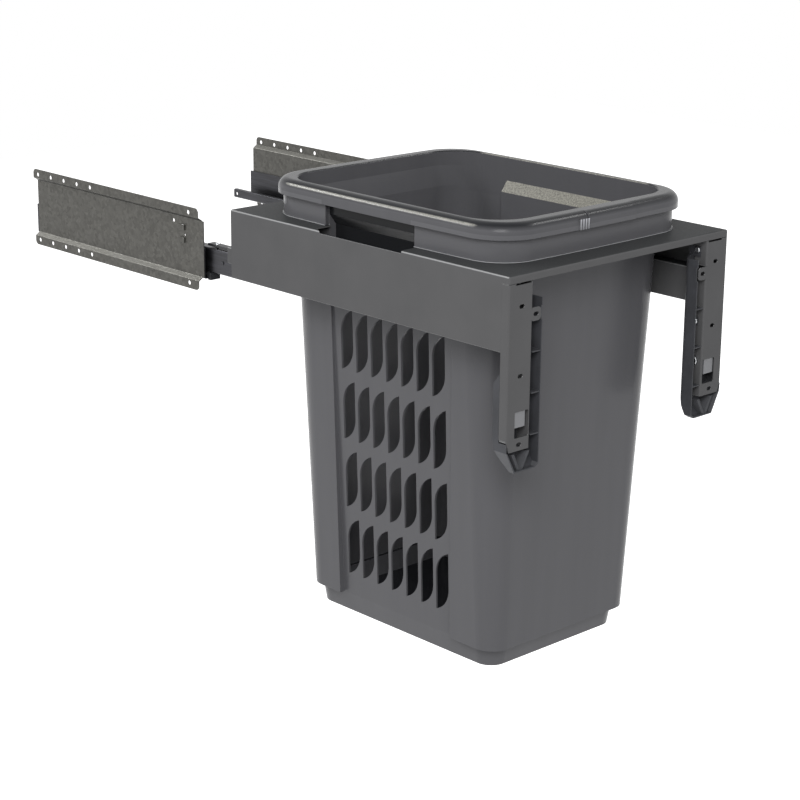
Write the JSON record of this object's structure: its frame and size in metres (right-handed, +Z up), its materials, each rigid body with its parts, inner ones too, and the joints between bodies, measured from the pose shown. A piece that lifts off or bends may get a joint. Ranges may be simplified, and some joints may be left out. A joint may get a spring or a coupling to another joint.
{
  "type": "pull-out laundry hamper",
  "caption": "Pull-out laundry hamper: a vented, lift-out basket in a folded steel frame with door legs, on full-extension runners.",
  "frame": {"origin": "centre of the four outer door slots: on the mid-plane and on the face that meets the door, at the height of the middle pair of slots", "axes": "+X to the right as one faces the cabinet, +Y into the cabinet along the runners, +Z up"},
  "size_m": [0.418, 0.965, 0.586],
  "materials": {
    "frame_paint": "grey powder coat, fine satin",
    "basket_plastic": "grey moulded polypropylene with a fine grain",
    "cover_plastic": "dark grey moulded plastic",
    "galvanised_steel": "galvanised sheet with a mottled spangle",
    "zinc_steel": "zinc-plated, satin",
    "bright_screw": "bright plated",
    "ball_steel": "hardened steel, polished",
    "black_plastic": "black moulded plastic",
    "light_plastic": "light grey moulded plastic"
  },
  "bodies": {
    "cabinet_side": {"left_side_plate": "galvanised_steel", "left_cabinet_rail": "galvanised_steel", "left_front_guide": "black_plastic", "left_damper_housing": "black_plastic", "left_damper_cylinder": "zinc_steel", "right_side_plate": "galvanised_steel", "right_cabinet_rail": "galvanised_steel", "right_front_guide": "black_plastic", "right_damper_housing": "black_plastic", "right_damper_cylinder": "zinc_steel"},
    "carriage": {"carrier_frame": "frame_paint", "cover_screws": "bright_screw", "cover_nuts": "zinc_steel", "left_door_bracket": "frame_paint", "left_leg_cover": "cover_plastic", "left_drawer_rail": "frame_paint", "left_closing_pin": "zinc_steel", "right_door_bracket": "frame_paint", "right_leg_cover": "cover_plastic", "right_drawer_rail": "frame_paint", "right_closing_pin": "zinc_steel"},
    "hamper": {"laundry_basket": "basket_plastic"},
    "left_middle": {"left_middle_rail": "galvanised_steel", "left_middle_rail_stop": "zinc_steel"},
    "left_lower_cage": {"left_lower_ball_cage": "black_plastic", "left_lower_balls": "ball_steel"},
    "left_upper_cage": {"left_upper_ball_cage": "black_plastic", "left_upper_balls": "ball_steel"},
    "left_soft_close": {"left_damper_catch": "light_plastic", "left_damper_rod": "zinc_steel"},
    "left_adjuster_block": {"left_adjuster_slide": "light_plastic"},
    "left_adjuster_screw": {"left_adjuster_cam": "bright_screw"},
    "right_middle": {"right_middle_rail": "galvanised_steel", "right_middle_rail_stop": "zinc_steel"},
    "right_lower_cage": {"right_lower_ball_cage": "black_plastic", "right_lower_balls": "ball_steel"},
    "right_upper_cage": {"right_upper_ball_cage": "black_plastic", "right_upper_balls": "ball_steel"},
    "right_soft_close": {"right_damper_catch": "light_plastic", "right_damper_rod": "zinc_steel"},
    "right_adjuster_block": {"right_adjuster_slide": "light_plastic"},
    "right_adjuster_screw": {"right_adjuster_cam": "bright_screw"}
  },
  "joints": [
    {"name": "carriage_pull", "type": "slide", "parent": "cabinet_side", "child": "carriage", "axis": [0, 1, 0], "range_m": [0, 0.545]},
    {"name": "left_middle_slide", "type": "slide", "parent": "cabinet_side", "child": "left_middle", "axis": [0, 1, 0], "range_m": [0, 0.2725]},
    {"name": "left_lower_cage_slide", "type": "slide", "parent": "cabinet_side", "child": "left_lower_cage", "axis": [0, 1, 0], "range_m": [0, 0.13625]},
    {"name": "left_upper_cage_slide", "type": "slide", "parent": "cabinet_side", "child": "left_upper_cage", "axis": [0, 1, 0], "range_m": [0, 0.40875]},
    {"name": "left_soft_close_slide", "type": "slide", "parent": "cabinet_side", "child": "left_soft_close", "axis": [0, 1, 0], "range_m": [0, 0.05]},
    {"name": "left_adjuster_turn", "type": "hinge", "parent": "carriage", "child": "left_adjuster_screw", "pos_m": [-0.1577, 0.013, -0.045], "axis": [1, 0, 0], "range_deg": [-60, 60]},
    {"name": "left_adjuster_lift", "type": "slide", "parent": "carriage", "child": "left_adjuster_block", "axis": [0, 0, 1], "range_m": [-0.00141, 0.00141]},
    {"name": "right_middle_slide", "type": "slide", "parent": "cabinet_side", "child": "right_middle", "axis": [0, 1, 0], "range_m": [0, 0.2725]},
    {"name": "right_lower_cage_slide", "type": "slide", "parent": "cabinet_side", "child": "right_lower_cage", "axis": [0, 1, 0], "range_m": [0, 0.13625]},
    {"name": "right_upper_cage_slide", "type": "slide", "parent": "cabinet_side", "child": "right_upper_cage", "axis": [0, 1, 0], "range_m": [0, 0.40875]},
    {"name": "right_soft_close_slide", "type": "slide", "parent": "cabinet_side", "child": "right_soft_close", "axis": [0, 1, 0], "range_m": [0, 0.05]},
    {"name": "right_adjuster_turn", "type": "hinge", "parent": "carriage", "child": "right_adjuster_screw", "pos_m": [0.1577, 0.013, -0.045], "axis": [1, 0, 0], "range_deg": [-60, 60]},
    {"name": "right_adjuster_lift", "type": "slide", "parent": "carriage", "child": "right_adjuster_block", "axis": [0, 0, 1], "range_m": [-0.00141, 0.00141]},
    {"name": "hamper_lift", "type": "slide", "parent": "carriage", "child": "hamper", "axis": [0, 0, 1], "range_m": [0, 0.6]}
  ],
  "couplings": [
    {"joint": "left_middle_slide", "follows": "carriage_pull", "ratio": 0.5},
    {"joint": "left_lower_cage_slide", "follows": "carriage_pull", "ratio": 0.25},
    {"joint": "left_upper_cage_slide", "follows": "carriage_pull", "ratio": 0.75},
    {"joint": "left_adjuster_turn", "follows": "left_adjuster_lift", "rad_per_m": 540},
    {"joint": "right_middle_slide", "follows": "carriage_pull", "ratio": 0.5},
    {"joint": "right_lower_cage_slide", "follows": "carriage_pull", "ratio": 0.25},
    {"joint": "right_upper_cage_slide", "follows": "carriage_pull", "ratio": 0.75},
    {"joint": "right_adjuster_turn", "follows": "right_adjuster_lift", "rad_per_m": 540}
  ]
}
